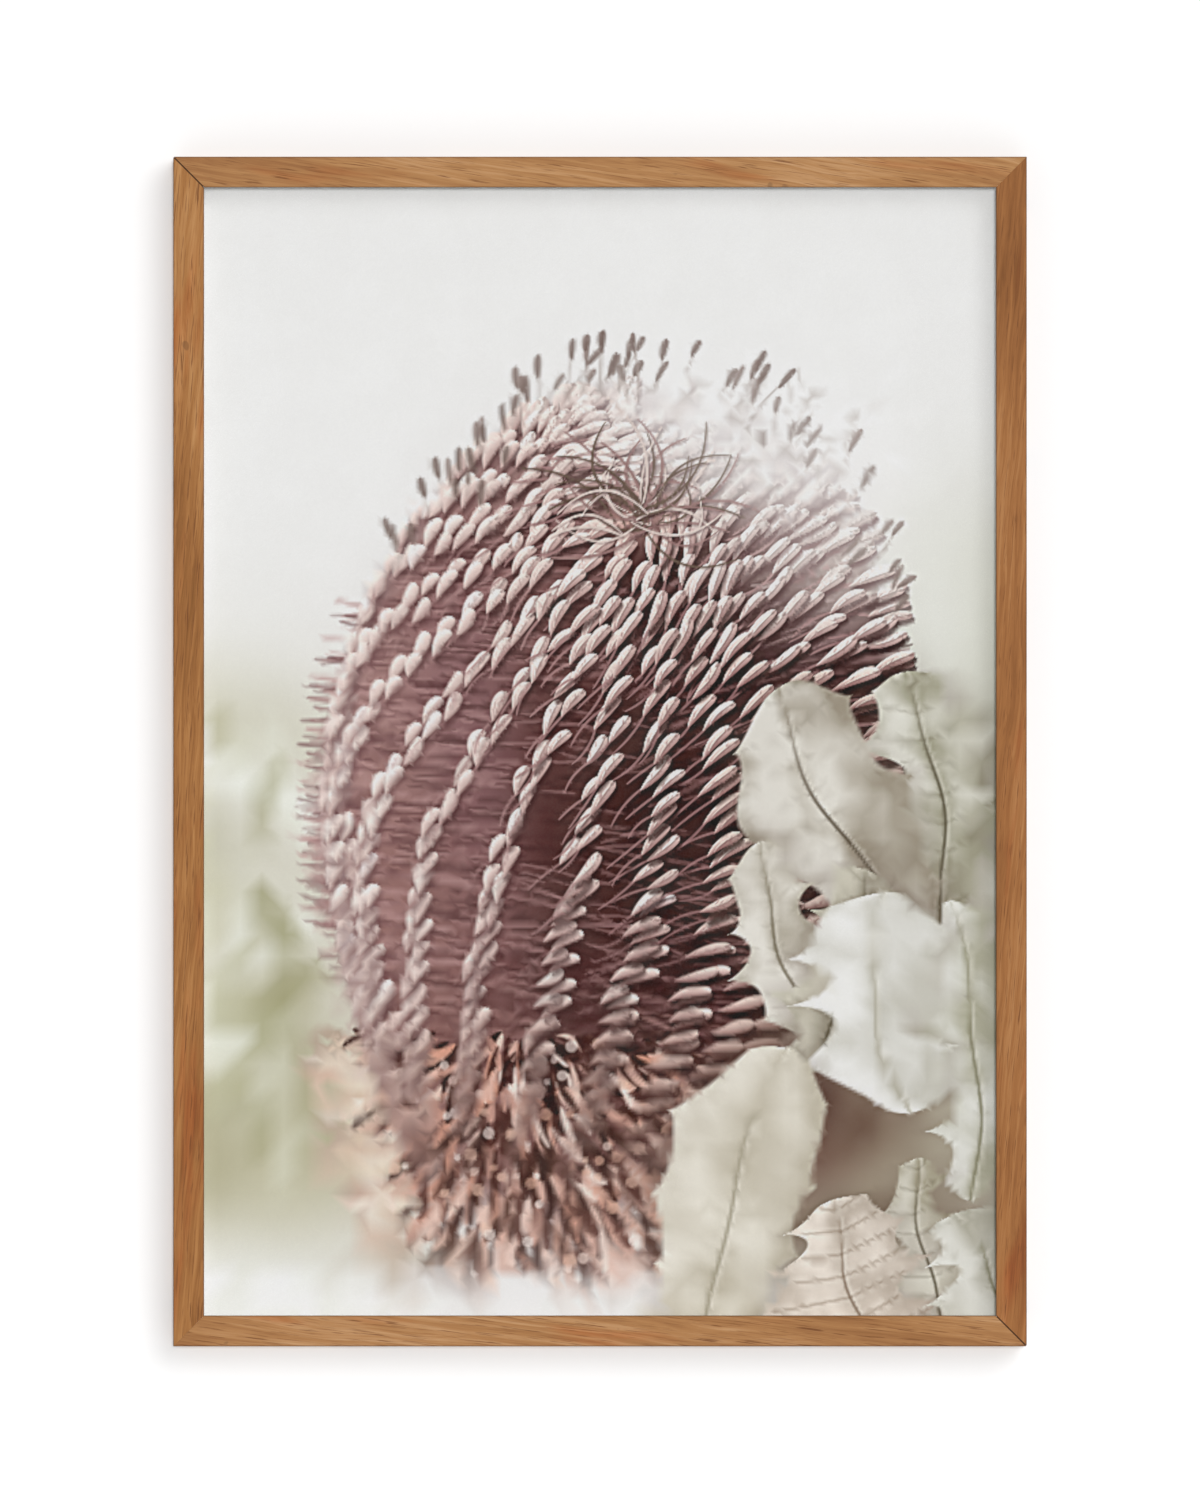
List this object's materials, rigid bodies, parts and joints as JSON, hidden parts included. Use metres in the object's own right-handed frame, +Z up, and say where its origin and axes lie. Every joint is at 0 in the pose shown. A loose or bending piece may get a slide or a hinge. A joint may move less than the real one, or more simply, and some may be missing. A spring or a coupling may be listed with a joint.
{
  "type": "picture frame",
  "caption": "Mitred timber box frame with clear glazing and a recessed paper print, a backing board held by turn buttons, and two D-ring hangers.",
  "frame": {"origin": "on the wall, behind the middle of the frame", "axes": "+Z up, +X to the right seen from the front, front faces -Y and the wall is at +Y"},
  "size_m": [0.627, 0.041, 0.874],
  "materials": {
    "timber": "satin",
    "glazing": "gloss",
    "print": "matte",
    "tape": "matte",
    "spacer": "matte",
    "mount_board": "matte",
    "backing_board": "matte",
    "steel": "satin",
    "bumper": "matte"
  },
  "bodies": {
    "frame": {"backing_board": "backing_board", "bumper_bottom_left": "bumper", "bumper_bottom_right": "bumper", "bumper_top_left": "bumper", "bumper_top_right": "bumper", "glazing_sheet": "glazing", "hanger_screws": "steel", "hanger_strap_left": "steel", "hanger_strap_right": "steel", "mount_board": "mount_board", "print_hinge_tapes": "tape", "print_sheet": "print", "rail_bottom": "timber", "rail_left": "timber", "rail_right": "timber", "rail_top": "timber", "spacer_bottom": "spacer", "spacer_left": "spacer", "spacer_right": "spacer", "spacer_top": "spacer", "turn_button_screws": "steel", "v_nails_bottom_left": "steel", "v_nails_bottom_right": "steel", "v_nails_top_left": "steel", "v_nails_top_right": "steel"},
    "turn_button_bottom_1": {"turn_button_bottom_1": "steel"},
    "turn_button_bottom_2": {"turn_button_bottom_2": "steel"},
    "turn_button_left_1": {"turn_button_left_1": "steel"},
    "turn_button_left_2": {"turn_button_left_2": "steel"},
    "turn_button_left_3": {"turn_button_left_3": "steel"},
    "turn_button_right_1": {"turn_button_right_1": "steel"},
    "turn_button_right_2": {"turn_button_right_2": "steel"},
    "turn_button_right_3": {"turn_button_right_3": "steel"},
    "turn_button_top_1": {"turn_button_top_1": "steel"},
    "turn_button_top_2": {"turn_button_top_2": "steel"},
    "d_ring_left": {"d_ring_left": "steel"},
    "d_ring_right": {"d_ring_right": "steel"}
  },
  "joints": [
    {"name": "turn_button_bottom_1_turn", "type": "hinge", "parent": "frame", "child": "turn_button_bottom_1", "pos_m": [-0.15, -0.006, -0.429], "axis": [0, 1, 0], "continuous": true},
    {"name": "turn_button_bottom_2_turn", "type": "hinge", "parent": "frame", "child": "turn_button_bottom_2", "pos_m": [0.15, -0.006, -0.429], "axis": [0, 1, 0], "continuous": true},
    {"name": "turn_button_left_1_turn", "type": "hinge", "parent": "frame", "child": "turn_button_left_1", "pos_m": [-0.3055, -0.006, -0.31], "axis": [0, 1, 0], "continuous": true},
    {"name": "turn_button_left_2_turn", "type": "hinge", "parent": "frame", "child": "turn_button_left_2", "pos_m": [-0.3055, -0.006, 0], "axis": [0, 1, 0], "continuous": true},
    {"name": "turn_button_left_3_turn", "type": "hinge", "parent": "frame", "child": "turn_button_left_3", "pos_m": [-0.3055, -0.006, 0.31], "axis": [0, 1, 0], "continuous": true},
    {"name": "turn_button_right_1_turn", "type": "hinge", "parent": "frame", "child": "turn_button_right_1", "pos_m": [0.3055, -0.006, -0.31], "axis": [0, 1, 0], "continuous": true},
    {"name": "turn_button_right_2_turn", "type": "hinge", "parent": "frame", "child": "turn_button_right_2", "pos_m": [0.3055, -0.006, 0], "axis": [0, 1, 0], "continuous": true},
    {"name": "turn_button_right_3_turn", "type": "hinge", "parent": "frame", "child": "turn_button_right_3", "pos_m": [0.3055, -0.006, 0.31], "axis": [0, 1, 0], "continuous": true},
    {"name": "turn_button_top_1_turn", "type": "hinge", "parent": "frame", "child": "turn_button_top_1", "pos_m": [-0.15, -0.006, 0.429], "axis": [0, 1, 0], "continuous": true},
    {"name": "turn_button_top_2_turn", "type": "hinge", "parent": "frame", "child": "turn_button_top_2", "pos_m": [0.15, -0.006, 0.429], "axis": [0, 1, 0], "continuous": true},
    {"name": "d_ring_left_swing", "type": "hinge", "parent": "frame", "child": "d_ring_left", "pos_m": [-0.3045, -0.00365, 0.225], "axis": [1, 0, 0], "range_deg": [0, 176]},
    {"name": "d_ring_right_swing", "type": "hinge", "parent": "frame", "child": "d_ring_right", "pos_m": [0.3045, -0.00365, 0.225], "axis": [1, 0, 0], "range_deg": [0, 176]}
  ]
}
